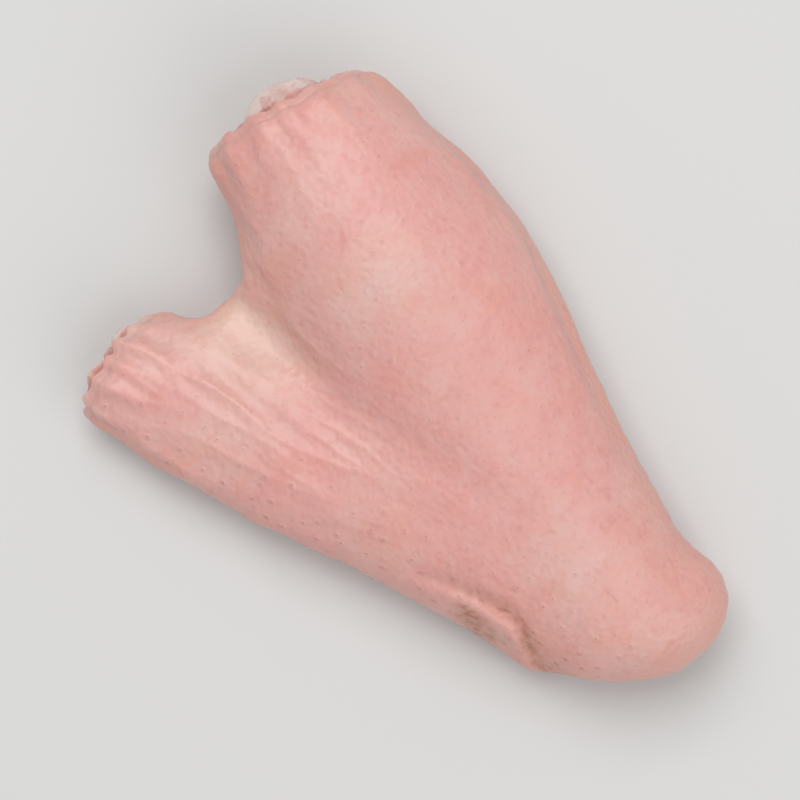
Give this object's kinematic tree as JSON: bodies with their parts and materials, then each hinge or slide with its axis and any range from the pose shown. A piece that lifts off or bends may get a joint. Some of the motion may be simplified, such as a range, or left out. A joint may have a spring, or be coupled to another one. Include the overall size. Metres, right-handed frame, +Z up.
{
  "type": "raw chicken wing",
  "caption": "Raw chicken wing with its skin on, folded at the elbow, cut at the shoulder and the wrist, lying skin side up.",
  "frame": {"origin": "on the resting plane, under the middle of the bounding box", "axes": "+Z up, out of the skin side; +Y from the elbow towards the two cut ends; the drumette lies on the +X side and the flat on the -X side"},
  "size_m": [0.064, 0.1, 0.0254],
  "materials": {
    "raw_skin": "moist raw poultry skin, pale pink, soft sheen"
  },
  "bodies": {
    "root": {"wing": "raw_skin"}
  },
  "joints": []
}
